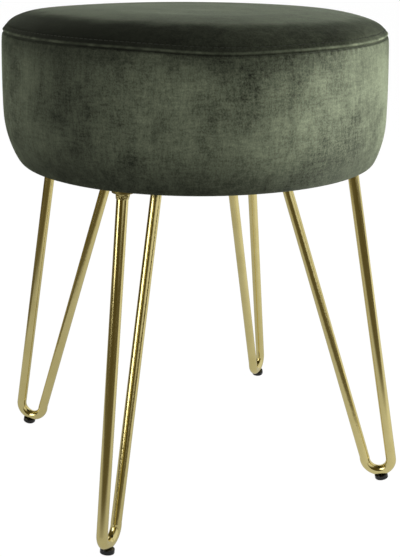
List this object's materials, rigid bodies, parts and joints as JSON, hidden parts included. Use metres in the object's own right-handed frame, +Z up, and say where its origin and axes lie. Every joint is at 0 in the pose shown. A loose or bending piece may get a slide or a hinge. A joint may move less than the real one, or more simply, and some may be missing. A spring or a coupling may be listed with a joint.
{
  "type": "stool",
  "caption": "Round upholstered stool with a drum-shaped velvet cushion seat on splayed hairpin rod legs with small glides.",
  "frame": {"origin": "on the floor under the middle of the seat", "axes": "+Z up, -Y towards the front leg, +X to the right seen from the front"},
  "size_m": [0.4154, 0.4176, 0.4511],
  "materials": {
    "velvet": "short-pile crushed velvet with a soft directional sheen",
    "gold": "polished pale gold plating on steel",
    "glide_plastic": "moulded black plastic, slightly glossy",
    "plywood": "bare birch plywood",
    "foam": "open-cell cushion foam",
    "wadding": "soft polyester wadding",
    "dust_cloth": "black non-woven cloth with a fine bonded dot pattern",
    "zinc": "bright zinc-plated steel"
  },
  "bodies": {
    "root": {"seat_board": "plywood", "foam_core": "foam", "wadding_wrap": "wadding", "top_panel": "velvet", "side_band": "velvet", "cover_staples": "zinc", "dust_cover": "dust_cloth", "dust_cover_staples": "zinc", "tee_nuts": "zinc", "leg_washers": "zinc", "leg_bolts": "zinc", "front_leg_rod": "gold", "front_leg_plate": "gold", "front_leg_welds": "gold", "front_glide": "glide_plastic", "right_leg_rod": "gold", "right_leg_plate": "gold", "right_leg_welds": "gold", "right_glide": "glide_plastic", "back_leg_rod": "gold", "back_leg_plate": "gold", "back_leg_welds": "gold", "back_glide": "glide_plastic", "left_leg_rod": "gold", "left_leg_plate": "gold", "left_leg_welds": "gold", "left_glide": "glide_plastic"}
  },
  "joints": []
}
